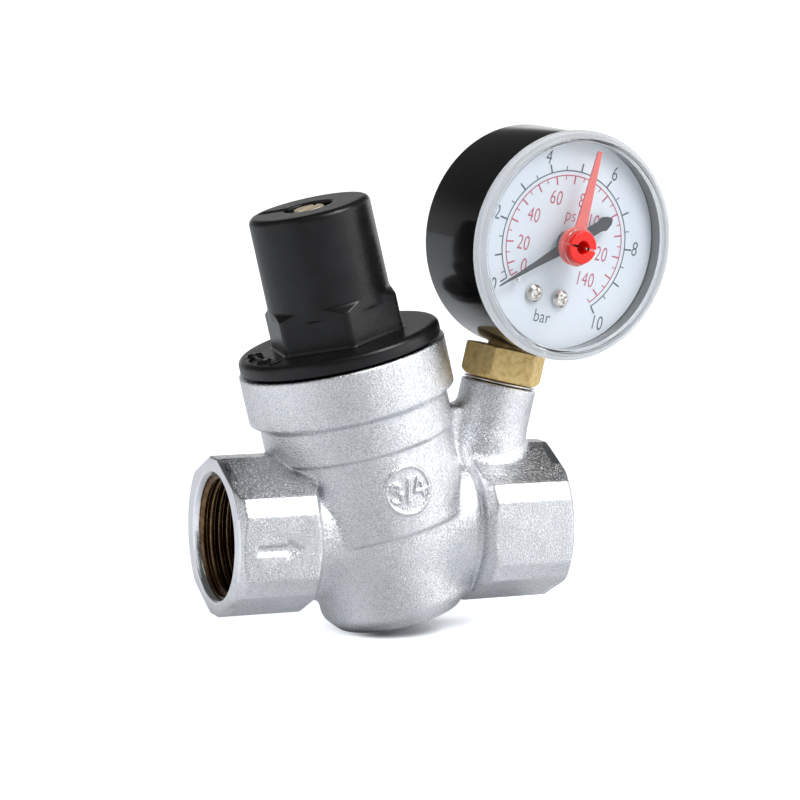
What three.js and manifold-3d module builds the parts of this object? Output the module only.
// Pressure reducing valve, G 3/4, with a 50 mm pressure gauge.
// Millimetres, +Z up. The origin is the centre of the flat round foot under the valve body.
// Water flows along +X. The bonnet leans towards the inlet (-X), the gauge towards the
// outlet (+X), and the dial faces -Y, turned a little towards +X.
//
// Heights are measured along the axis a piece is turned on: from the pipe axis for the
// bonnet and the gauge connection, and from the gauge axis, out of the dial, for the gauge
// head. Profiles are tables of [radius, height], outlines are tables of [x, y], and all
// angles are in degrees.
import * as THREE from "three";
import { mergeVertices } from "three/addons/utils/BufferGeometryUtils.js";
import Module from "manifold-3d";

const wasm = await Module();
wasm.setup();

const MATERIALS = {
  chrome: { color: 0xc9ccd2, roughness: 0.32, metalness: 1 },
  blackSatin: { color: 0x1c1d1f, roughness: 0.5, metalness: 0 },
  blackGloss: { color: 0x0d0d0f, roughness: 0.15, metalness: 0 },
  brass: { color: 0xc9a45c, roughness: 0.32, metalness: 1 },
  steel: { color: 0x9c9fa3, roughness: 0.35, metalness: 1 },
  rubber: { color: 0x19191a, roughness: 0.8, metalness: 0 },
  clear: { color: 0xeaf2f5, roughness: 0.05, metalness: 0 },
  dial: { color: 0xe2e8ef, roughness: 0.5, metalness: 0 },
  red: { color: 0xe8382c, roughness: 0.35, metalness: 0 },
  nickel: { color: 0xd9d3cb, roughness: 0.22, metalness: 1 },
  pointer: { color: 0x34353a, roughness: 0.5, metalness: 0 },
};

// ---------------------------------------------------------------- shared dimensions
const GAP = 0.3; // working gap between neighbouring pieces

const BONNET_TILT = 13.3; // towards the inlet
const BONNET_X = -0.3; // where the bonnet axis crosses the pipe axis
const FOOT_BOTTOM = -19.72;
const BODY_TOP = 39.45;
const CYLINDER_RADIUS = 17.0; // bore of the large piston land
const GUIDE_RADIUS = 9.2; // bore of the piston neck
const COUNTERBORE_RADIUS = 19.4; // takes the bonnet's spigot
const COUNTERBORE_BOTTOM = 31.2;

const GAUGE_TILT = 13.1; // towards the outlet
const GAUGE_X = 20.71; // where the gauge axis crosses the pipe axis
const BOSS_TOP = 31.12;
const GAUGE_BORE_RADIUS = 5.85; // G 1/4 thread
const GAUGE_CENTRE = 64.2; // dial centre along the gauge axis
const GAUGE_YAW = 9.39; // the dial's turn towards +X

// ---------------------------------------------------------------- helpers
const rad = (degrees) => (degrees * Math.PI) / 180;
const polar = (radius, degrees) => [
  radius * Math.cos(rad(degrees)),
  radius * Math.sin(rad(degrees)),
];

const at = (x, y, z) => new THREE.Matrix4().makeTranslation(x, y, z);
const turned = (axis, degrees) =>
  new THREE.Matrix4()[`makeRotation${axis.toUpperCase()}`](rad(degrees));
const chain = (...steps) =>
  steps.reduce((product, step) => product.multiply(step), new THREE.Matrix4());

// local x, y, z laid along Y, Z, X
const ALONG_X = new THREE.Matrix4().makeBasis(
  new THREE.Vector3(0, 1, 0),
  new THREE.Vector3(0, 0, 1),
  new THREE.Vector3(1, 0, 0),
);
const ON_BONNET_AXIS = chain(at(BONNET_X, 0, 0), turned("y", -BONNET_TILT));
const ON_GAUGE_AXIS = chain(at(GAUGE_X, 0, 0), turned("y", GAUGE_TILT));

// A closed geometry as a manifold solid, turned right side out if need be.
function solid(geometry, matrix) {
  const loose = geometry.index ? geometry.toNonIndexed() : geometry;
  const bare = new THREE.BufferGeometry();
  bare.setAttribute("position", loose.getAttribute("position"));
  if (matrix) bare.applyMatrix4(matrix);
  const welded = mergeVertices(bare, 1e-4);

  const index = welded.index.array;
  const triangles = [];
  for (let i = 0; i < index.length; i += 3) {
    const [a, b, c] = index.subarray(i, i + 3);
    if (a !== b && b !== c && c !== a) triangles.push(a, b, c);
  }
  const triVerts = new Uint32Array(triangles);
  const build = () =>
    new wasm.Manifold(
      new wasm.Mesh({
        numProp: 3,
        vertProperties: welded.attributes.position.array,
        triVerts,
      }),
    );
  const built = build();
  if (built.volume() >= 0) return built;
  for (let i = 0; i < triVerts.length; i += 3) {
    triVerts.subarray(i + 1, i + 3).reverse();
  }
  return build();
}

function geometryOf(manifold) {
  const { vertProperties, triVerts } = manifold.getMesh();
  const geometry = new THREE.BufferGeometry()
    .setAttribute("position", new THREE.BufferAttribute(vertProperties, 3))
    .setIndex(new THREE.BufferAttribute(triVerts, 1))
    .toNonIndexed();
  geometry.computeVertexNormals();
  return geometry;
}

function addPiece(group, name, manifold, material) {
  const piece = new THREE.Mesh(
    geometryOf(manifold),
    new THREE.MeshStandardMaterial(MATERIALS[material]),
  );
  piece.name = name;
  group.add(piece);
  return piece;
}

// Solid of revolution about Z. The profile runs from the axis back to the axis, or, where
// no point lies on the axis, is closed into a ring.
function revolve(profile, segments, matrix) {
  const points = profile.map(([radius, z]) => new THREE.Vector2(radius, z));
  if (profile.every(([radius]) => radius > 1e-6)) points.push(points[0].clone());
  const geometry = new THREE.LatheGeometry(points, segments);
  geometry.applyMatrix4(turned("x", 90));
  return solid(geometry, matrix);
}
const rod = (radius, bottom, top, segments = 24, matrix) =>
  revolve([[0, bottom], [radius, bottom], [radius, top], [0, top]], segments, matrix);
const ring = (inner, outer, bottom, top, segments = 24) =>
  revolve([[inner, bottom], [outer, bottom], [outer, top], [inner, top]], segments);
// Seal that lies in a groove with a gap at its root and sides.
const grooveSeal = (groove, outer, segments) =>
  ring(groove.root + GAP, outer, groove.bottom + GAP, groove.top - GAP, segments);

const vectors = (points) => points.map(([x, y]) => new THREE.Vector2(x, y));
function shapeOf(outline, holes = []) {
  const shape = new THREE.Shape(vectors(outline));
  for (const hole of holes) shape.holes.push(new THREE.Path(vectors(hole)));
  return shape;
}
const extrude = (shape, depth, steps) =>
  new THREE.ExtrudeGeometry(shape, { depth, steps, bevelEnabled: false });

// Flat plate in x, y, from bottom to top.
function plate(outline, bottom, top, holes, matrix) {
  const geometry = extrude(shapeOf(outline, holes), top - bottom, 1);
  geometry.translate(0, 0, bottom);
  return solid(geometry, matrix);
}

const circle = (radius, count, x = 0, y = 0, start = 0) =>
  Array.from({ length: count }, (_, i) => {
    const [dx, dy] = polar(radius, start + (i / count) * 360);
    return [x + dx, y + dy];
  });
const circlesAt = (places, radius, count = 10) =>
  places.map(([x, y]) => circle(radius, count, x, y));
const hexCorner = (acrossFlats) => acrossFlats / Math.sqrt(3);
const hexagon = (acrossFlats, start) => circle(hexCorner(acrossFlats), 6, 0, 0, start);

// Block between two opposite corners.
function box([x0, y0, z0], [x1, y1, z1], matrix) {
  const geometry = new THREE.BoxGeometry(x1 - x0, y1 - y0, z1 - z0);
  geometry.translate((x0 + x1) / 2, (y0 + y1) / 2, (z0 + z1) / 2);
  return solid(geometry, matrix);
}
// Block centred on the Z axis and turned about it.
const bar = (halfLength, halfWidth, bottom, top, angle = 0) =>
  box(
    [-halfLength, -halfWidth, bottom],
    [halfLength, halfWidth, top],
    turned("z", angle),
  );

// Straight strip bent about Z: the section's x is added to the radius and its y to the height.
function bentStrip({ section, holes, steps, angles, radii, height }) {
  const strip = extrude(shapeOf(section, holes), 1, steps);
  const position = strip.attributes.position;
  const between = ([first, last], share) => first + (last - first) * share;
  for (let i = 0; i < position.count; i++) {
    const along = position.getZ(i);
    const radius = between(radii, along) + position.getX(i);
    const [x, y] = polar(radius, between(angles, along));
    position.setXYZ(i, x, y, height + position.getY(i));
  }
  return solid(strip);
}

const join = (first, ...rest) => rest.reduce((sum, next) => sum.add(next), first);
const cut = (first, ...rest) => rest.reduce((left, next) => left.subtract(next), first);

// ---------------------------------------------------------------- valve body
const PORT_HALF = 38.5; // port face from the valve's middle
const THREAD_MINOR_RADIUS = 12.06; // G 3/4 female thread, crest
const THREAD_MAJOR_RADIUS = 13.22; // G 3/4 thread, root
const PORT_MOUTH_RADIUS = 14.0; // countersink at the mouth
const THREAD_DEPTH = 15.5;
const BORE_END_RADIUS = 10.6;
const INLET_HEX_LENGTH = 19.0;
const OUTLET_HEX_LENGTH = 20.3;
const HEX_END_RADIUS = 17.6; // turned radius at both ends of the wrench flats
const HEX_TURNED_RADIUS = 21.0;
const NECK_RADIUS = 15.0;
const NECK_HALF = 20;

const CUP_RADIUS = 16.57;
const SHOULDER_BOTTOM = 1.6;
const SHOULDER_RADIUS = 19.74;
const BELT_BOTTOM = 19.9;
const BELT_RADIUS = 20.6;
const COLLAR_BOTTOM = 27.85;
const COLLAR_RADIUS = 22.7;
const BOSS_RADIUS = 8.31;
const WEB_HALF = 3.6; // half thickness

const PASSAGE_RADIUS = 6.6;
const PASSAGE_OFFSET = 4.4; // inlet passage above the pipe axis, outlet passage below it
const INLET_PASSAGE = [-25, -8]; // x of its ends
const OUTLET_PASSAGE = [6, 25];
const CHAMBER_RADIUS = 13.0;
const SEAT_POCKET_RADIUS = 8.9;
const GAUGE_BORE_BOTTOM = 18;
const GAUGE_WAY_RADIUS = 2.0;
const GAUGE_WAY = [8, 19]; // heights of its ends

// one quarter of the wrench flats, [y, z]
const FLATS_QUARTER = [[18.93, 6.92], [16.86, 10.55], [2.64, 17.2]];
// web between the gauge boss and the collar, [x, -z]
const WEB_OUTLINE = [[6, -8], [24, -8], [24.5, -24.5], [18.2, -26.2], [12, -27]];

const BODY_PROFILE = [
  [0, FOOT_BOTTOM], [13.6, FOOT_BOTTOM], [15.5, FOOT_BOTTOM + 0.9],
  [CUP_RADIUS, FOOT_BOTTOM + 3], [CUP_RADIUS, SHOULDER_BOTTOM - 1.2],
  [SHOULDER_RADIUS - 0.6, SHOULDER_BOTTOM], [SHOULDER_RADIUS, SHOULDER_BOTTOM + 0.8],
  [SHOULDER_RADIUS, BELT_BOTTOM], [BELT_RADIUS, BELT_BOTTOM + 0.6],
  [BELT_RADIUS, COLLAR_BOTTOM - 0.2], [COLLAR_RADIUS - 0.9, COLLAR_BOTTOM + 0.2],
  [COLLAR_RADIUS, COLLAR_BOTTOM + 1.2], [COLLAR_RADIUS, BODY_TOP - 0.6],
  [COLLAR_RADIUS - 0.5, BODY_TOP], [0, BODY_TOP],
];
const BOSS_PROFILE = [
  [0, 6], [BOSS_RADIUS + 0.6, 6], [BOSS_RADIUS + 0.4, 17], [BOSS_RADIUS, 22],
  [BOSS_RADIUS, BOSS_TOP - 0.5], [BOSS_RADIUS - 0.5, BOSS_TOP], [0, BOSS_TOP],
];
// [radius, depth from the port face]
const PORT_BORE_PROFILE = [
  [0, -1], [PORT_MOUTH_RADIUS, -1], [PORT_MOUTH_RADIUS, 0],
  [THREAD_MAJOR_RADIUS, 1.2], [THREAD_MINOR_RADIUS, 2.2],
  [THREAD_MINOR_RADIUS, THREAD_DEPTH], [BORE_END_RADIUS, THREAD_DEPTH + 1.2],
  [0, THREAD_DEPTH + 1.2],
];
// outlet chamber, seat pocket, inlet chamber, guide, cylinder and counterbore, upwards
const CHAMBERS_PROFILE = [
  [0, -17], [12.2, -17], [CHAMBER_RADIUS, -16.2], [CHAMBER_RADIUS, -2.6],
  [SEAT_POCKET_RADIUS, -2.6], [SEAT_POCKET_RADIUS, 1], [CHAMBER_RADIUS, 1],
  [CHAMBER_RADIUS, 8.4], [GUIDE_RADIUS, 8.4], [GUIDE_RADIUS, 13.8],
  [CYLINDER_RADIUS, 13.8], [CYLINDER_RADIUS, COUNTERBORE_BOTTOM],
  [COUNTERBORE_RADIUS, COUNTERBORE_BOTTOM], [COUNTERBORE_RADIUS, BODY_TOP + 1],
  [0, BODY_TOP + 1],
];

function flatsOutline() {
  const mirrored = (ySign, zSign) => FLATS_QUARTER.map(([y, z]) => [y * ySign, z * zSign]);
  return [
    ...mirrored(1, 1),
    ...mirrored(-1, 1).reverse(),
    ...mirrored(-1, -1),
    ...mirrored(1, -1).reverse(),
  ];
}

// Wrench section inwards from a port face, with both ends turned down.
// The side is -1 for the inlet and 1 for the outlet.
function wrenchEnd(side, length) {
  const turnedEnds = revolve(
    [
      [0, 0], [HEX_END_RADIUS, 0], [HEX_TURNED_RADIUS, 1.9],
      [HEX_TURNED_RADIUS, length - 2.2], [HEX_END_RADIUS, length], [0, length],
    ],
    36,
  );
  const place = chain(
    at(side * PORT_HALF, 0, 0),
    ALONG_X,
    turned("y", side < 0 ? 0 : 180),
  );
  return plate(flatsOutline(), 0, length)
    .intersect(turnedEnds)
    .transform(place.toArray());
}

function portBore(side) {
  const place = chain(at(side * PORT_HALF, 0, 0), turned("y", -90 * side));
  return revolve(PORT_BORE_PROFILE, 28, place);
}

const passage = ([start, end], z) =>
  rod(PASSAGE_RADIUS, start, end, 16, chain(at(0, 0, z), ALONG_X));

function valveBody() {
  const outside = join(
    wrenchEnd(-1, INLET_HEX_LENGTH),
    wrenchEnd(1, OUTLET_HEX_LENGTH),
    rod(NECK_RADIUS, -NECK_HALF, NECK_HALF, 24, ALONG_X),
    revolve(BODY_PROFILE, 36, ON_BONNET_AXIS),
    revolve(BOSS_PROFILE, 24, ON_GAUGE_AXIS),
    plate(WEB_OUTLINE, -WEB_HALF, WEB_HALF, [], turned("x", -90)),
  );
  return cut(
    outside,
    portBore(-1),
    portBore(1),
    passage(INLET_PASSAGE, PASSAGE_OFFSET),
    passage(OUTLET_PASSAGE, -PASSAGE_OFFSET),
    revolve(CHAMBERS_PROFILE, 24, ON_BONNET_AXIS),
    rod(GAUGE_BORE_RADIUS, GAUGE_BORE_BOTTOM, BOSS_TOP + 1, 24, ON_GAUGE_AXIS),
    rod(GAUGE_WAY_RADIUS, ...GAUGE_WAY, 12, ON_GAUGE_AXIS),
  );
}

// ---------------------------------------------------------------- strainer
// cup in the inlet passage, open towards the inlet, [radius, x]
const STRAINER_PROFILE = [
  [0, -15.7], [5.6, -15.7], [5.6, -22.4], [6.2, -22.4], [6.2, -15.1], [0, -15.1],
];
const END_SLOTS = { ys: [-3, -1, 1, 3], halfWidth: 0.5, halfHeight: 3, x0: -15.9, x1: -14.9 };
const WALL_SLOTS = { xs: [-20.5, -18.5, -16.8], halfWidth: 0.4, halfHeight: 1.6, reach: 7 };

function strainerScreen() {
  const end = END_SLOTS;
  const wall = WALL_SLOTS;
  return cut(
    revolve(STRAINER_PROFILE, 16, ALONG_X),
    ...end.ys.map((y) =>
      box(
        [end.x0, y - end.halfWidth, -end.halfHeight],
        [end.x1, y + end.halfWidth, end.halfHeight],
      ),
    ),
    ...wall.xs.map((x) =>
      box(
        [x - wall.halfWidth, -wall.reach, -wall.halfHeight],
        [x + wall.halfWidth, wall.reach, wall.halfHeight],
      ),
    ),
  );
}

// ---------------------------------------------------------------- bonnet
const SPIGOT_RADIUS = COUNTERBORE_RADIUS - GAP;
const SPIGOT_BOTTOM = 33.4;
const FLANGE_RADIUS = 22.15;
const FLANGE_TOP = 43.0;
const BONNET_HEX = { acrossFlats: 26.4, angle: -97, bottom: 42, top: 52.0 };
const BONNET_HEX_CORNER_RADIUS = 14.35;
const TOWER_BOTTOM = 50;
const TOWER_RADIUS = 13.27;
const TOWER_TOP = 72.45;
const SPRING_ROOM_RADIUS = 11.6;
const SPRING_ROOM_TOP = 66.5;
const KEY_ANGLE = 29; // direction of the spring plate's key
const KEYWAY = { halfLength: 12.35, halfWidth: 1.9, bottom: 44, top: 66.2 };
const SCREW_WAY_RADIUS = 3.65;
const RECESS_RADIUS = 5.3;
const RECESS_BOTTOM = 69.2;
const NOTCH = { halfLength: 8.1, halfWidth: 1.55, bottom: 70.9, angles: [62, 152] };
const TOWER_CUT_TOP = 74; // recess and notches are cut up to here
const BONNET_SEAL_RADIUS = 18.9;

const FLANGE_PROFILE = [
  [0, SPIGOT_BOTTOM], [SPIGOT_RADIUS, SPIGOT_BOTTOM], [SPIGOT_RADIUS, BODY_TOP + GAP],
  [FLANGE_RADIUS, BODY_TOP + GAP], [FLANGE_RADIUS, FLANGE_TOP - 1.1],
  [FLANGE_RADIUS - 0.5, FLANGE_TOP - 0.3], [FLANGE_RADIUS - 1.4, FLANGE_TOP],
  [0, FLANGE_TOP],
];
const BONNET_HEX_PROFILE = [
  [0, 41], [BONNET_HEX_CORNER_RADIUS, 41],
  [BONNET_HEX_CORNER_RADIUS, BONNET_HEX.top - 1.6],
  [BONNET_HEX_CORNER_RADIUS - 1, BONNET_HEX.top], [0, BONNET_HEX.top],
];
const TOWER_PROFILE = [
  [0, TOWER_BOTTOM], [TOWER_RADIUS + 0.12, TOWER_BOTTOM], [TOWER_RADIUS, TOWER_TOP - 1.5],
  [TOWER_RADIUS - 0.5, TOWER_TOP - 0.4], [TOWER_RADIUS - 1.4, TOWER_TOP], [0, TOWER_TOP],
];
const SPRING_ROOM_PROFILE = [
  [0, 32], [16, 32], [16, 40.2], [SPRING_ROOM_RADIUS, 43],
  [SPRING_ROOM_RADIUS, SPRING_ROOM_TOP], [0, SPRING_ROOM_TOP],
];

function bonnet() {
  const hex = plate(
    hexagon(BONNET_HEX.acrossFlats, BONNET_HEX.angle),
    BONNET_HEX.bottom,
    BONNET_HEX.top,
  );
  return cut(
    join(
      revolve(FLANGE_PROFILE, 36),
      hex.intersect(revolve(BONNET_HEX_PROFILE, 30)),
      revolve(TOWER_PROFILE, 32),
    ),
    revolve(SPRING_ROOM_PROFILE, 24),
    bar(KEYWAY.halfLength, KEYWAY.halfWidth, KEYWAY.bottom, KEYWAY.top, KEY_ANGLE),
    rod(SCREW_WAY_RADIUS, 60, 70),
    rod(RECESS_RADIUS, RECESS_BOTTOM, TOWER_CUT_TOP),
    ...NOTCH.angles.map((angle) =>
      bar(NOTCH.halfLength, NOTCH.halfWidth, NOTCH.bottom, TOWER_CUT_TOP, angle),
    ),
  );
}

const bonnetSeal = () =>
  ring(
    CYLINDER_RADIUS + GAP,
    BONNET_SEAL_RADIUS,
    COUNTERBORE_BOTTOM + GAP,
    SPIGOT_BOTTOM - GAP,
  );

// ---------------------------------------------------------------- adjusting screw and spring
const SCREW_RADIUS = 4.0; // M8 x 1.25, left-hand
const SCREW_HEAD_RADIUS = 3.3;
const SCREW_FLANGE_RADIUS = 6.4;
const SCREW_FLANGE_BOTTOM = 63.0;
const SCREW_FLANGE_TOP = 65.0;
const SCREW_SLOT = { halfLength: 4, halfWidth: 0.6, bottom: 70.7, top: 73, angle: 40 };
const THRUST_WASHER_RADIUS = 7.2;

const SPRING_PLATE_BOTTOM = 53.0;
const SPRING_PLATE_TOP = SPRING_PLATE_BOTTOM + 3.2;
const SPRING_PLATE_RADIUS = 10.9;
const SPRING_PLATE_HUB = { radius: 6.6, height: 5.4 };
const SPRING_KEY = { halfLength: 12.0, halfWidth: 1.55 };

const PISTON_TOP = 24.0; // the spring's seat
const SPRING_TURNS = 6;
const SPRING_RADIUS = 8.9; // to the middle of the wire
const WIRE_RADIUS = 1.4;
const SPRING_MARGIN = GAP + WIRE_RADIUS + 0.1; // from either seat to the end of the wire's centre line
const CLOSED_LENGTH = 0.13; // share of the wire in each closed end
const CLOSED_RISE = 0.035; // share of the height climbed in each closed end

const SCREW_PROFILE = [
  [0, 47.5], [3.4, 47.5], [SCREW_RADIUS, 48.1], [SCREW_RADIUS, SCREW_FLANGE_BOTTOM],
  [SCREW_FLANGE_RADIUS, SCREW_FLANGE_BOTTOM], [SCREW_FLANGE_RADIUS, SCREW_FLANGE_TOP],
  [SCREW_HEAD_RADIUS, SCREW_FLANGE_TOP], [SCREW_HEAD_RADIUS, 71.6], [3, 71.9], [0, 71.9],
];

function adjustingScrew() {
  const { halfLength, halfWidth, bottom, top, angle } = SCREW_SLOT;
  return cut(revolve(SCREW_PROFILE, 24), bar(halfLength, halfWidth, bottom, top, angle));
}

const thrustWasher = () =>
  ring(
    SCREW_WAY_RADIUS,
    THRUST_WASHER_RADIUS,
    SCREW_FLANGE_TOP + GAP,
    SPRING_ROOM_TOP - GAP,
    18,
  );

function springPlate() {
  const bottom = SPRING_PLATE_BOTTOM;
  const { halfLength, halfWidth } = SPRING_KEY;
  return cut(
    join(
      rod(SPRING_PLATE_RADIUS, bottom, SPRING_PLATE_TOP),
      rod(SPRING_PLATE_HUB.radius, bottom, bottom + SPRING_PLATE_HUB.height, 20),
      bar(halfLength, halfWidth, bottom, SPRING_PLATE_TOP, KEY_ANGLE),
    ),
    rod(SCREW_RADIUS + GAP, bottom - 1, bottom + 8),
  );
}

// Centre line of the spring wire, flatter in its closed ends.
class SpringPath extends THREE.Curve {
  static rise(along) {
    if (along < CLOSED_LENGTH) return (along / CLOSED_LENGTH) * CLOSED_RISE;
    if (along > 1 - CLOSED_LENGTH) return 1 - ((1 - along) / CLOSED_LENGTH) * CLOSED_RISE;
    const middle = (along - CLOSED_LENGTH) / (1 - 2 * CLOSED_LENGTH);
    return CLOSED_RISE + middle * (1 - 2 * CLOSED_RISE);
  }

  getPoint(along, target = new THREE.Vector3()) {
    const bottom = PISTON_TOP + SPRING_MARGIN;
    const top = SPRING_PLATE_BOTTOM - SPRING_MARGIN;
    const [x, y] = polar(SPRING_RADIUS, along * SPRING_TURNS * 360);
    return target.set(x, y, bottom + (top - bottom) * SpringPath.rise(along));
  }
}

const mainSpring = () =>
  solid(
    new THREE.ExtrudeGeometry(shapeOf(circle(WIRE_RADIUS, 5)), {
      steps: SPRING_TURNS * 10,
      bevelEnabled: false,
      extrudePath: new SpringPath(),
    }),
  );

// ---------------------------------------------------------------- piston, shutter and seat
const LAND_RADIUS = CYLINDER_RADIUS - GAP;
const PISTON_NECK_RADIUS = GUIDE_RADIUS - GAP;
const STEM_RADIUS = 2.4;
const STEM_HOLE_RADIUS = STEM_RADIUS + GAP;
const STEM_SHOULDER = -5.7;
const UPPER_GROOVE = { root: 14.4, bottom: 19.4, top: 21.9 };
const LOWER_GROOVE = { root: 7.5, bottom: 9.0, top: 10.9 };
const SEAT_GROOVE = { root: 7.6, bottom: -1.6, top: -0.1 };
const SEAT_INSERT_RADIUS = 8.5;
const SEAT_SEAL_RADIUS = 8.55;
const SEAT_DISC = { radius: 7.8, bottom: -8.0 };
const RETAINER_BOTTOM = -10.2;
const RETAINER_RADIUS = 8.3;
const RETAINER_TOP = -7.0;
const NUT = { acrossFlats: 8, bottom: -13.2 };
const PISTON_BORE = { radius: 1.0, bottom: -15, top: 15.4 };
const CROSS_BORE = { radius: 0.9, half: 12, height: 15.3 };

const PISTON_PROFILE = [
  [0, -13.6], [STEM_RADIUS, -13.6], [STEM_RADIUS, STEM_SHOULDER],
  [3.4, STEM_SHOULDER], [3.4, 2], [8.3, 2], [PISTON_NECK_RADIUS, 2.6],
  [PISTON_NECK_RADIUS, LOWER_GROOVE.bottom], [LOWER_GROOVE.root, LOWER_GROOVE.bottom],
  [LOWER_GROOVE.root, LOWER_GROOVE.top], [PISTON_NECK_RADIUS, LOWER_GROOVE.top],
  [PISTON_NECK_RADIUS, 17], [16.2, 17], [LAND_RADIUS, 17.5],
  [LAND_RADIUS, UPPER_GROOVE.bottom], [UPPER_GROOVE.root, UPPER_GROOVE.bottom],
  [UPPER_GROOVE.root, UPPER_GROOVE.top], [LAND_RADIUS, UPPER_GROOVE.top],
  [LAND_RADIUS, 23.6], [16.2, PISTON_TOP], [12.6, PISTON_TOP],
  [12.6, 27.2], [10.9, 27.2], [10.9, PISTON_TOP], [0, PISTON_TOP],
];
const RETAINER_PROFILE = [
  [STEM_HOLE_RADIUS, RETAINER_BOTTOM], [7.9, RETAINER_BOTTOM],
  [RETAINER_RADIUS, -9.8], [RETAINER_RADIUS, RETAINER_TOP],
  [SEAT_DISC.radius + GAP, RETAINER_TOP], [SEAT_DISC.radius + GAP, SEAT_DISC.bottom - GAP],
  [STEM_HOLE_RADIUS, SEAT_DISC.bottom - GAP],
];
const SEAT_INSERT_PROFILE = [
  [6.1, -2.8], [6.5, -3.3], [6.9, -3.3], [7.3, -2.8], [SEAT_INSERT_RADIUS, -2.8],
  [SEAT_INSERT_RADIUS, SEAT_GROOVE.bottom], [SEAT_GROOVE.root, SEAT_GROOVE.bottom],
  [SEAT_GROOVE.root, SEAT_GROOVE.top], [SEAT_INSERT_RADIUS, SEAT_GROOVE.top],
  [SEAT_INSERT_RADIUS, 1.2], [6.1, 1.2],
];

const piston = () =>
  cut(
    revolve(PISTON_PROFILE, 24),
    rod(PISTON_BORE.radius, PISTON_BORE.bottom, PISTON_BORE.top, 10),
    rod(
      CROSS_BORE.radius,
      -CROSS_BORE.half,
      CROSS_BORE.half,
      8,
      chain(at(0, 0, CROSS_BORE.height), ALONG_X),
    ),
  );

const seatDisc = () =>
  ring(STEM_HOLE_RADIUS, SEAT_DISC.radius, SEAT_DISC.bottom, STEM_SHOULDER - GAP, 18);

const shutterNut = () =>
  plate(hexagon(NUT.acrossFlats, 0), NUT.bottom, RETAINER_BOTTOM - GAP, [
    circle(STEM_HOLE_RADIUS, 12),
  ]);

// ---------------------------------------------------------------- gauge connection
const SOCKET_HEX = { acrossFlats: 16.0, angle: -8.4, bottom: 31.95, top: 39.2 };
const SHANK = { radius: 5.5, bottom: 19.6, top: 32.5 };
const SOCKET_NECK = { radius: 4.3, bottom: 38.5, top: 44.5 };
const SOCKET_BORE = { radius: 1.5, bottom: 18, top: 50 };
// opposite corners, in the socket's frame turned by the gauge's yaw
const SOCKET_BLOCK = [[-5.6, -4.4, 42.2], [5.6, 4.6, 55.4]];
const TUBE_POCKET = [[-6.5, -5.1, 45.3], [-1.8, 2.3, 49.0]]; // takes the pressure tube's root
const POCKET_WAY = [[-2.0, -1.6, 46.4], [0.4, -0.2, 47.8]]; // from the bore to the pocket
const SEAL_WASHER = { radius: 7.9, bottom: BOSS_TOP + 0.25, top: 31.75 };

function gaugeSocket() {
  const { acrossFlats, angle, bottom, top } = SOCKET_HEX;
  const edge = hexCorner(acrossFlats) + 0.2;
  const hex = plate(hexagon(acrossFlats, angle), bottom, top).intersect(
    revolve([[0, 31], [7.7, bottom], [edge, 33.4], [edge, 38.6], [8.6, top], [0, top]], 30),
  );
  const yawedBox = (corners) => box(...corners, turned("z", GAUGE_YAW));
  return cut(
    join(
      hex,
      join(
        rod(SHANK.radius, SHANK.bottom, SHANK.top),
        rod(SOCKET_NECK.radius, SOCKET_NECK.bottom, SOCKET_NECK.top, 20),
        yawedBox(SOCKET_BLOCK),
      ),
    ),
    rod(SOCKET_BORE.radius, SOCKET_BORE.bottom, SOCKET_BORE.top, 12),
    yawedBox(TUBE_POCKET),
    yawedBox(POCKET_WAY),
  );
}

const gaugeSealWasher = () =>
  ring(GAUGE_BORE_RADIUS, SEAL_WASHER.radius, SEAL_WASHER.bottom, SEAL_WASHER.top, 28);

// ---------------------------------------------------------------- gauge case and dial
const CASE_RADIUS = 24.45;
const CASE_BACK = -5.86;
const CASE_FRONT = 15.6;
const CASE_BORE_RADIUS = 23.5;
const CASE_NECK_HOLE = { radius: 4.65, near: 20, far: 27 }; // downwards from the centre
const DIAL_FRONT = 12.7;
const DIAL_THICKNESS = 0.5;
const DIAL_RADIUS = 22.9;
const DIAL_CENTRE_HOLE_RADIUS = 1.7;
const DIAL_SCREW_HOLE_RADIUS = 1.2;
const DIAL_SCREWS = [[-5.0, -11.4], [1.95, -11.4]]; // left, right
const DIAL_SCREW_SLOT = { halfLength: 1.1, halfWidth: 0.22 };
const POINTER_ZERO = 128; // anticlockwise of the dial's top at zero pressure
const STOP_PIN = { radius: 0.35, distance: 14.4, pastZero: 4.6, height: 2.2 };

const CASE_PROFILE = [
  [0, CASE_BACK], [CASE_RADIUS - 1.6, CASE_BACK], [CASE_RADIUS - 0.45, CASE_BACK + 0.5],
  [CASE_RADIUS, CASE_BACK + 1.6], [CASE_RADIUS, CASE_FRONT], [0, CASE_FRONT],
];
const CASE_BORE_PROFILE = [
  [0, CASE_BACK + 1], [22.6, CASE_BACK + 1], [CASE_BORE_RADIUS, CASE_BACK + 1.9],
  [CASE_BORE_RADIUS, CASE_FRONT + 1], [0, CASE_FRONT + 1],
];
const DIAL_SCREW_PROFILE = [
  [0, 9.9], [0.85, 9.9], [0.85, DIAL_FRONT + GAP], [1.75, DIAL_FRONT + GAP],
  [1.7, DIAL_FRONT + 0.8], [1.1, DIAL_FRONT + 1.25], [0, DIAL_FRONT + 1.4],
];

const gaugeCase = () =>
  cut(
    revolve(CASE_PROFILE, 44),
    revolve(CASE_BORE_PROFILE, 36),
    rod(CASE_NECK_HOLE.radius, CASE_NECK_HOLE.near, CASE_NECK_HOLE.far, 24, turned("x", 90)),
  );

const dial = () =>
  plate(circle(DIAL_RADIUS, 36), DIAL_FRONT - DIAL_THICKNESS, DIAL_FRONT, [
    circle(DIAL_CENTRE_HOLE_RADIUS, 12),
    ...circlesAt(DIAL_SCREWS, DIAL_SCREW_HOLE_RADIUS),
  ]);

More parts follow.
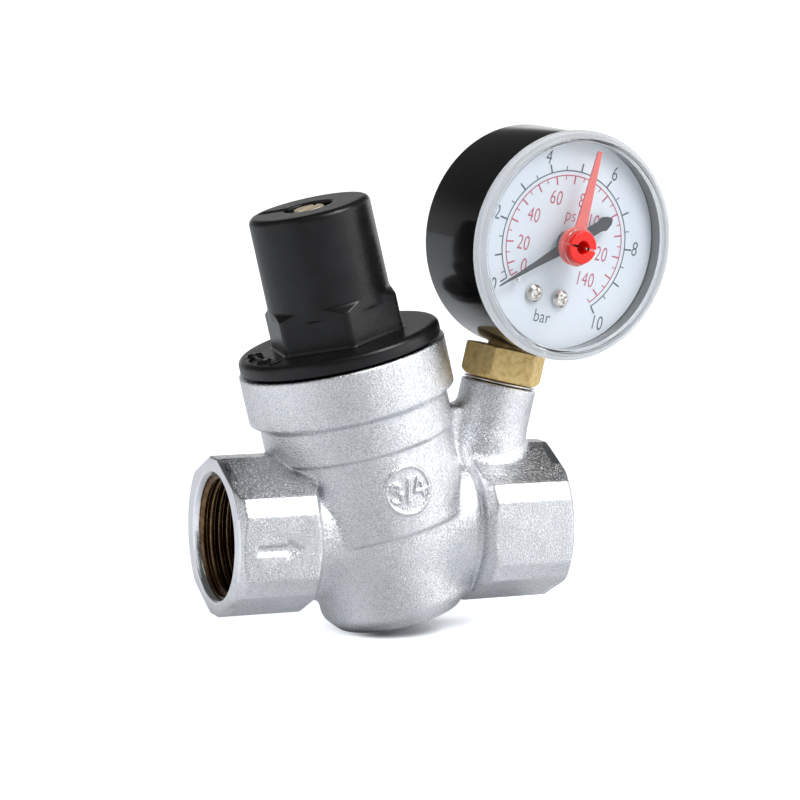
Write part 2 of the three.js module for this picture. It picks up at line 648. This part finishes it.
// screw with a cross slot
function dialScrew() {
  const { halfLength, halfWidth } = DIAL_SCREW_SLOT;
  const bottom = DIAL_FRONT + 0.8;
  const top = DIAL_FRONT + 2;
  return cut(
    revolve(DIAL_SCREW_PROFILE, 12),
    bar(halfLength, halfWidth, bottom, top),
    bar(halfWidth, halfLength, bottom, top),
  );
}

// set in the dial just past zero
function stopPin() {
  const place = polar(STOP_PIN.distance, 90 + POINTER_ZERO + STOP_PIN.pastZero);
  const top = DIAL_FRONT + STOP_PIN.height;
  return rod(STOP_PIN.radius, DIAL_FRONT + GAP, top, 10).translate([...place, 0]);
}

// ---------------------------------------------------------------- movement
const TOOTH_MODULE = 0.4;
const PINION_TEETH = 10;
const SECTOR_TEETH = 60; // teeth of the full circle the sector is cut from
const PINION_RADIUS = (TOOTH_MODULE * PINION_TEETH) / 2;
const SECTOR_RADIUS = (TOOTH_MODULE * SECTOR_TEETH) / 2;
const SECTOR_PIVOT_ANGLE = -60; // from the dial's centre, 0 = right
const SECTOR_PIVOT = polar(SECTOR_RADIUS + PINION_RADIUS, SECTOR_PIVOT_ANGLE);

const BASE_PLATE = { back: 5.2, front: 6.0 };
const TOP_PLATE = { back: 9.4, front: 10.2 };
const STAFF_RADIUS = 0.8;
const STAFF_BACK = BASE_PLATE.back + 0.1;
const STAFF_FRONT = TOP_PLATE.front - 0.1;
const PILLARS = [[-7.4, -5.6], [7.8, -16.6]]; // left, right
const PILLAR_RADIUS = 1.1;
const PILLAR_PIN_RADIUS = 0.6;
const BASE_SCREWS = [[-3.6, -11.2], [3.2, -10.9]]; // left, right
const BASE_SCREW_RADIUS = 0.8;
const TOP_PLATE_SCREW_HOLE_RADIUS = 1.15; // for the dial screws

const MOVEMENT_OUTLINE = [
  [-9, -4], [-9, -13.6], [3, -14.6], [5.8, -18.2],
  [9.8, -18.2], [10.2, -10], [3.4, 3], [-3.4, 3],
];
const PILLAR_PROFILE = [
  [0, STAFF_BACK], [PILLAR_PIN_RADIUS, STAFF_BACK],
  [PILLAR_PIN_RADIUS, BASE_PLATE.front + GAP], [PILLAR_RADIUS, BASE_PLATE.front + GAP],
  [PILLAR_RADIUS, TOP_PLATE.back - GAP], [PILLAR_PIN_RADIUS, TOP_PLATE.back - GAP],
  [PILLAR_PIN_RADIUS, STAFF_FRONT], [0, STAFF_FRONT],
];
const BASE_SCREW_PROFILE = [
  [0, 4.95], [BASE_SCREW_RADIUS, 4.95], [BASE_SCREW_RADIUS, BASE_PLATE.front + GAP],
  [1.5, BASE_PLATE.front + GAP], [1.5, 6.75], [0, 6.75],
];

const movementPlate = ({ back, front }, screwHoles) =>
  plate(MOVEMENT_OUTLINE, back, front, [
    ...circlesAt([[0, 0], SECTOR_PIVOT], STAFF_RADIUS + GAP),
    ...circlesAt(PILLARS, PILLAR_PIN_RADIUS + GAP, 8),
    ...screwHoles,
  ]);

const baseScrew = () => cut(revolve(BASE_SCREW_PROFILE, 8), bar(2, 0.2, 6.5, 7));

// Gear outline as [radius, angle]: straight-sided teeth, thinned so that the pair runs free.
function teeth(count, pitchRadius, first, last, turn) {
  const step = 360 / count;
  const tip = pitchRadius + TOOTH_MODULE * 0.62;
  const root = pitchRadius - TOOTH_MODULE;
  const outline = [];
  for (let i = first; i <= last; i++) {
    const centre = i * step + turn;
    outline.push(
      [root, centre - step * 0.27],
      [tip, centre - step * 0.1],
      [tip, centre + step * 0.1],
      [root, centre + step * 0.27],
    );
  }
  return outline;
}
const fromPolar = (points) => points.map(([radius, angle]) => polar(radius, angle));

const SECTOR_FACE = { back: 7.0, front: 7.8 };
const SECTOR_HUB = { radius: 1.5, back: 6.4, front: 9.0 };
const SECTOR_RIM_RADIUS = 9.4; // inner corners of the toothed rim
const LINK_HOLE_RADIUS = 0.75;
const TAIL_HOLE = polar(5.4, -22); // from the sector's pivot
// tail that carries the link, [radius, angle] from the sector's pivot
const SECTOR_TAIL = [
  [2.2, -60], [4.6, -38], [5.9, -36], [6.8, -27],
  [6.8, -17], [5.9, -8], [4.6, -6], [2.2, 12],
];

// The teeth run clockwise from the meshing point, where a tooth space faces the pinion.
function sectorGear() {
  const towardsPinion = SECTOR_PIVOT_ANGLE + 180;
  const halfStep = 180 / SECTOR_TEETH;
  const arc = teeth(SECTOR_TEETH, SECTOR_RADIUS, -9, 0, towardsPinion + halfStep);
  const firstAngle = arc[0][1];
  const lastAngle = arc.at(-1)[1];
  const outline = fromPolar([
    ...arc,
    [SECTOR_RIM_RADIUS, lastAngle],
    [2.0, lastAngle + 30],
    [2.2, lastAngle + 100],
    ...SECTOR_TAIL,
    [SECTOR_RIM_RADIUS, firstAngle],
  ]);
  return cut(
    join(
      plate(outline, SECTOR_FACE.back, SECTOR_FACE.front),
      rod(STAFF_RADIUS, STAFF_BACK, STAFF_FRONT, 10),
      rod(SECTOR_HUB.radius, SECTOR_HUB.back, SECTOR_HUB.front, 12),
    ),
    rod(LINK_HOLE_RADIUS, 5, 9, 10, at(...TAIL_HOLE, 0)),
  ).translate([...SECTOR_PIVOT, 0]);
}

const LINK = { back: 8.2, front: 8.7, halfWidth: 0.6, eyeRadius: 1.15 };
const LINK_PIN = { radius: 0.4, back: 6.6, front: 8.4 };
const LINK_END = [16.6, -3.4]; // at the pressure tube's tip

// from the sector's tail to the tube's tip
function link() {
  const start = TAIL_HOLE.map((offset, i) => offset + SECTOR_PIVOT[i]);
  const dx = LINK_END[0] - start[0];
  const dy = LINK_END[1] - start[1];
  const length = Math.hypot(dx, dy);
  const angle = (Math.atan2(dy, dx) * 180) / Math.PI;
  const { back, front, halfWidth, eyeRadius } = LINK;
  const outline = [
    [0, -halfWidth], [length, -halfWidth], [length, halfWidth], [0, halfWidth],
  ];
  return join(
    plate(outline, back, front),
    rod(eyeRadius, back, front, 12),
    rod(eyeRadius, back, front, 12).translate([length, 0, 0]),
    rod(LINK_PIN.radius, LINK_PIN.back, LINK_PIN.front, 8),
  ).transform(chain(at(...start, 0), turned("z", angle)).toArray());
}

const PINION_FACE = { back: 6.7, front: 8.1 };
const POINTER_PIN = { radius: 0.6, back: 13, front: 14.9 }; // thin front end of the staff
const STAFF_STEP = 13.2; // front of the staff's thick part

// A tooth points at the sector.
function pinionStaff() {
  const last = PINION_TEETH - 1;
  const outline = teeth(PINION_TEETH, PINION_RADIUS, 0, last, SECTOR_PIVOT_ANGLE);
  return join(
    plate(fromPolar(outline), PINION_FACE.back, PINION_FACE.front),
    rod(STAFF_RADIUS, STAFF_BACK, STAFF_STEP, 10),
    rod(POINTER_PIN.radius, POINTER_PIN.back, POINTER_PIN.front, 8),
  );
}

// flat spiral round the staff
const hairspring = () =>
  bentStrip({
    section: [[-0.13, -0.2], [0.13, -0.2], [0.13, 0.2], [-0.13, 0.2]],
    steps: 36,
    angles: [0, 3.5 * 360],
    radii: [1.35, 4.3],
    height: 8.65,
  });

// ---------------------------------------------------------------- pressure tube
const TUBE_RADIUS = 17.4;
const TUBE_ANGLES = [262, -2]; // from the bottom clockwise over the top to the right
const TUBE_HEIGHT = 1.4;
// sections, [offset from the tube's radius, offset from its height]
const TUBE_SECTION = [
  [-1.1, -2.4], [-0.5, -3.3], [0.5, -3.3], [1.1, -2.4],
  [1.1, 2.4], [0.5, 3.3], [-0.5, 3.3], [-1.1, 2.4],
];
const TUBE_HOLLOW = [[-0.6, -2.3], [-0.6, 2.3], [0.6, 2.3], [0.6, -2.3]];
// opposite corners
const TIP_PLUG = [[15.9, -5.2, -1.9], [18.9, -1.2, 4.7]];
const TIP_LUG = [[15.9, -4.6, 4.5], [17.4, -2.2, 7.9]]; // reaches towards the link

// flattened hollow tube bent into a C, open at both ends
const bourdonTube = () =>
  bentStrip({
    section: TUBE_SECTION,
    holes: [TUBE_HOLLOW],
    steps: 22,
    angles: TUBE_ANGLES,
    radii: [TUBE_RADIUS, TUBE_RADIUS],
    height: TUBE_HEIGHT,
  });

// ---------------------------------------------------------------- pointer, window, set hand
const SET_HAND_ANGLE = -3.5; // anticlockwise of the dial's top
const WINDOW_RADIUS = 25.0;
const WINDOW_EDGE = 16.9; // front of the window's widest part
const WINDOW_FRONT = 19.0;
const WINDOW_HOLE_RADIUS = 2.5;
const HUB_FRONT = 20.65; // front of the set hand's hub
const HUB_BORE_RADIUS = 1.5;
const HUB_RADIUS = 1.95;
const HUB_HEAD_RADIUS = 3.55;
const POINTER_FACE = { back: 14.45, front: 14.85 };
const POINTER_BORE = { radius: 0.9, back: 13, front: 15.2 };
const SET_HAND_FACE = { back: 17.2, front: 17.6 };
const SET_HAND_DISC = { radius: 4.2, back: 16.9, front: 17.8 };

// needle and counterweight, pointing up
const POINTER_OUTLINE = [
  [-0.12, 19.2], [-1.15, 2], [-1.15, -9.4], [-1.55, -9.9], [-0.9, -11.5], [0, -12.3],
  [0.9, -11.5], [1.55, -9.9], [1.15, -9.4], [1.15, 2], [0.12, 19.2],
];
const POINTER_HUB_PROFILE = [
  [0, 13.6], [2.3, 13.6], [3.1, 14.2], [3.1, 15], [2.6, 15.8], [0, 15.8],
];
const SET_HAND_OUTLINE = [[-0.62, 21.5], [-1.75, 1], [1.75, 1], [0.62, 21.5]];
// cap with a bevelled edge, a collar round its middle hole and a spigot inside the case
const WINDOW_PROFILE = [
  [WINDOW_HOLE_RADIUS, 18.1], [22.3, 18.1], [22.3, 13.4], [23.1, 13.4],
  [23.1, CASE_FRONT + GAP], [WINDOW_RADIUS, CASE_FRONT + GAP],
  [WINDOW_RADIUS, WINDOW_EDGE], [WINDOW_RADIUS - 1.5, WINDOW_FRONT - 0.3],
  [WINDOW_RADIUS - 2.2, WINDOW_FRONT], [3.9, WINDOW_FRONT + 0.05],
  [3.9, WINDOW_FRONT + 0.45], [WINDOW_HOLE_RADIUS, WINDOW_FRONT + 0.45],
];
const HUB_PROFILE = [
  [HUB_BORE_RADIUS, 16.6], [HUB_RADIUS, 16.6], [HUB_RADIUS, HUB_FRONT - 0.9],
  [HUB_HEAD_RADIUS, HUB_FRONT - 0.9], [HUB_HEAD_RADIUS, HUB_FRONT - 0.25],
  [3.3, HUB_FRONT], [HUB_BORE_RADIUS, HUB_FRONT],
];

const pointer = () =>
  cut(
    join(
      plate(POINTER_OUTLINE, POINTER_FACE.back, POINTER_FACE.front),
      revolve(POINTER_HUB_PROFILE, 24),
    ),
    rod(POINTER_BORE.radius, POINTER_BORE.back, POINTER_BORE.front, 12),
  ).transform(turned("z", POINTER_ZERO).toArray());

// behind the window
const setHand = () =>
  cut(
    join(
      plate(SET_HAND_OUTLINE, SET_HAND_FACE.back, SET_HAND_FACE.front),
      rod(SET_HAND_DISC.radius, SET_HAND_DISC.back, SET_HAND_DISC.front, 28),
    ),
    rod(HUB_RADIUS + GAP, 15, 19, 20),
  ).transform(turned("z", SET_HAND_ANGLE).toArray());

// through the window, with a slot across its head
const setHandHub = () => cut(revolve(HUB_PROFILE, 24), bar(4, 0.2, 19, 21, SET_HAND_ANGLE));

// ---------------------------------------------------------------- frames
const valve = new THREE.Group();
const pipe = new THREE.Group(); // origin on the pipe axis, midway between the ports
pipe.position.set(
  -BONNET_X + FOOT_BOTTOM * Math.sin(rad(BONNET_TILT)),
  0,
  -FOOT_BOTTOM * Math.cos(rad(BONNET_TILT)),
);
valve.add(pipe);

const bonnetAxis = new THREE.Group();
bonnetAxis.position.x = BONNET_X;
bonnetAxis.rotation.y = -rad(BONNET_TILT);
pipe.add(bonnetAxis);

const gaugeAxis = new THREE.Group();
gaugeAxis.position.x = GAUGE_X;
gaugeAxis.rotation.y = rad(GAUGE_TILT);
pipe.add(gaugeAxis);

const gaugeHead = new THREE.Group(); // z out of the dial, y up the gauge axis, x to the right
gaugeHead.position.z = GAUGE_CENTRE;
gaugeHead.rotation.order = "ZYX";
gaugeHead.rotation.z = rad(GAUGE_YAW);
gaugeHead.rotation.x = Math.PI / 2;
gaugeAxis.add(gaugeHead);

// ---------------------------------------------------------------- assembly
addPiece(pipe, "valve_body", valveBody(), "chrome");
addPiece(pipe, "strainer_screen", strainerScreen(), "steel").position.z = PASSAGE_OFFSET;

const onBonnet = (...piece) => addPiece(bonnetAxis, ...piece);
onBonnet("bonnet", bonnet(), "blackSatin");
onBonnet("bonnet_seal", bonnetSeal(), "rubber");
onBonnet("adjusting_screw", adjustingScrew(), "brass");
onBonnet("thrust_washer", thrustWasher(), "steel");
onBonnet("spring_plate", springPlate(), "brass");
onBonnet("main_spring", mainSpring(), "steel");
onBonnet("piston", piston(), "brass");
onBonnet("piston_upper_o_ring", grooveSeal(UPPER_GROOVE, LAND_RADIUS, 24), "rubber");
onBonnet("piston_lower_o_ring", grooveSeal(LOWER_GROOVE, PISTON_NECK_RADIUS, 18), "rubber");
onBonnet("seat_disc", seatDisc(), "rubber");
onBonnet("seal_retainer", revolve(RETAINER_PROFILE, 18), "brass");
onBonnet("shutter_nut", shutterNut(), "brass");
onBonnet("seat_insert", revolve(SEAT_INSERT_PROFILE, 20), "steel");
onBonnet("seat_o_ring", grooveSeal(SEAT_GROOVE, SEAT_SEAL_RADIUS, 18), "rubber");

addPiece(gaugeAxis, "gauge_socket", gaugeSocket(), "brass");
addPiece(gaugeAxis, "gauge_seal_washer", gaugeSealWasher(), "nickel");

const inHead = (...piece) => addPiece(gaugeHead, ...piece);
// A left and a right copy of one piece.
const pairInHead = (name, build, places, material) =>
  places.forEach(([x, y], i) =>
    inHead(`${name}_${["left", "right"][i]}`, build().translate([x, y, 0]), material),
  );
inHead("gauge_case", gaugeCase(), "blackGloss");
inHead("dial", dial(), "dial");
pairInHead("dial_screw", dialScrew, DIAL_SCREWS, "nickel");
inHead("stop_pin", stopPin(), "nickel");
inHead(
  "movement_base_plate",
  movementPlate(BASE_PLATE, circlesAt(BASE_SCREWS, BASE_SCREW_RADIUS + GAP)),
  "brass",
);
inHead(
  "movement_top_plate",
  movementPlate(TOP_PLATE, circlesAt(DIAL_SCREWS, TOP_PLATE_SCREW_HOLE_RADIUS)),
  "brass",
);
pairInHead("pillar", () => revolve(PILLAR_PROFILE, 8), PILLARS, "brass");
pairInHead("movement_screw", baseScrew, BASE_SCREWS, "steel");
inHead("sector_gear", sectorGear(), "brass");
inHead("link", link(), "steel");
inHead("pinion_staff", pinionStaff(), "steel");
inHead("hairspring", hairspring(), "brass");
inHead("bourdon_tube", bourdonTube(), "brass");
inHead("bourdon_tip", join(box(...TIP_PLUG), box(...TIP_LUG)), "brass");
inHead("pointer", pointer(), "pointer");
inHead("window", revolve(WINDOW_PROFILE, 36), "clear");
inHead("set_hand", setHand(), "red");
inHead("set_hand_hub", setHandHub(), "red");

export default valve;
